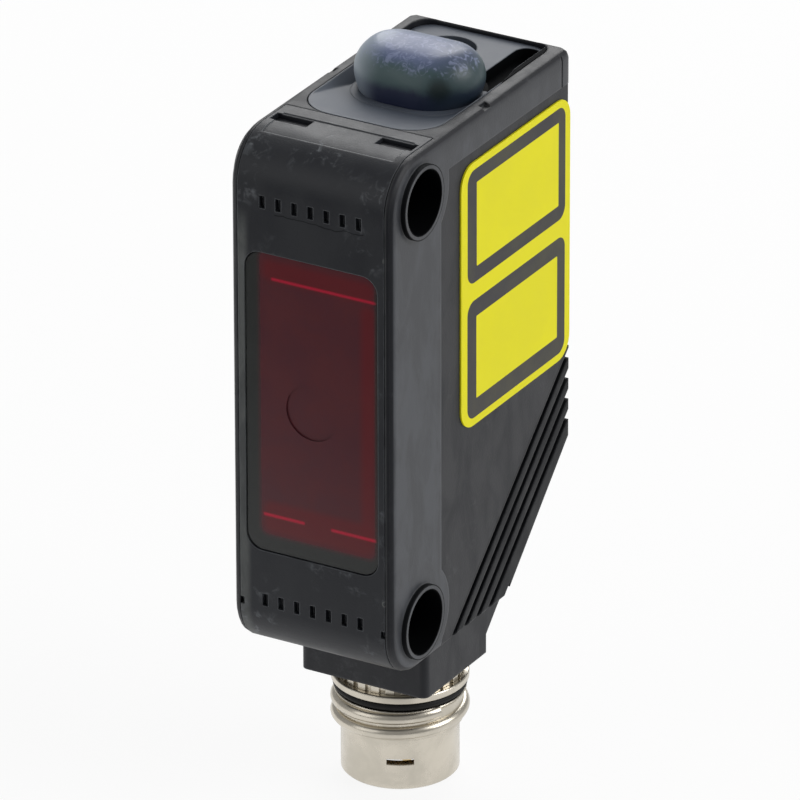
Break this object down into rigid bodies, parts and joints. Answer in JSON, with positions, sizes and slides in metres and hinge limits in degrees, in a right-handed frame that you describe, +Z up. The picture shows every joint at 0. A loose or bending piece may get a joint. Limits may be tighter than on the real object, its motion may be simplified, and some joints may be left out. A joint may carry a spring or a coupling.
{
  "type": "photoelectric sensor",
  "caption": "Laser photoelectric sensor in a slim black case with a red window, a milky lamp dome, a set button and an M8 plug under a grooved finger grip",
  "frame": {"origin": "midway between the two mounting holes, on the middle plane of the case", "axes": "+X across the case towards the labelled side, +Y from the lens side to the back, +Z up from the plug to the lamp dome"},
  "size_m": [0.0108, 0.02, 0.0434],
  "materials": {
    "black_case": "moulded matt black with a fine grain",
    "black_cover": "moulded satin black",
    "red_pane": "polished dark red filter pane",
    "seal_rubber": "soft black",
    "dark_frame": "flat black inside the optics",
    "red_lens": "polished moulded lens",
    "barrel_brass": "turned",
    "clear_glass": "polished",
    "gold_plating": "gold plated",
    "chip_black": "moulded package",
    "tin_plate": "tinned sheet",
    "board_green": "lacquered circuit board",
    "header_ivory": "moulded",
    "lamp_green": "clear tinted resin",
    "lamp_orange": "clear tinted resin",
    "gloss_panel": "smooth satin black",
    "milky_lens": "milky translucent diffuser",
    "button_black": "moulded",
    "plated_nickel": "satin nickel plating",
    "insert_black": "moulded",
    "flex_amber": "amber film",
    "label_yellow": "printed film of plain yellow and dark fields"
  },
  "bodies": {
    "case": {"housing": "black_case", "front_cover": "black_cover", "window": "red_pane", "window_gasket": "seal_rubber", "optic_frame": "dark_frame", "receiver_lens": "red_lens", "laser_barrel": "barrel_brass", "collimator_lens": "clear_glass", "laser_retainer": "barrel_brass", "laser_diode": "gold_plating", "receiver_chip": "chip_black", "receiver_shield": "tin_plate", "sensor_board": "board_green", "main_board": "board_green", "processor_chip": "chip_black", "board_header": "header_ivory", "display_board": "board_green", "stability_lamp": "lamp_green", "output_lamp": "lamp_orange", "top_panel": "gloss_panel", "panel_gasket": "seal_rubber", "indicator_lens": "milky_lens", "button_seal": "seal_rubber", "button_switch": "tin_plate", "connector_shell": "plated_nickel", "connector_insert": "insert_black", "contact_pin_1": "gold_plating", "contact_pin_2": "gold_plating", "contact_pin_3": "gold_plating", "contact_pin_4": "gold_plating", "coupling_o_ring": "seal_rubber", "shell_seal": "seal_rubber", "connector_flex": "flex_amber", "side_label": "label_yellow"},
    "button": {"set_button": "button_black"}
  },
  "joints": [
    {"name": "button_press", "type": "slide", "parent": "case", "child": "button", "axis": [0, 0, -1], "range_m": [0, 0.00035], "stiffness_N_per_m": 2000}
  ]
}
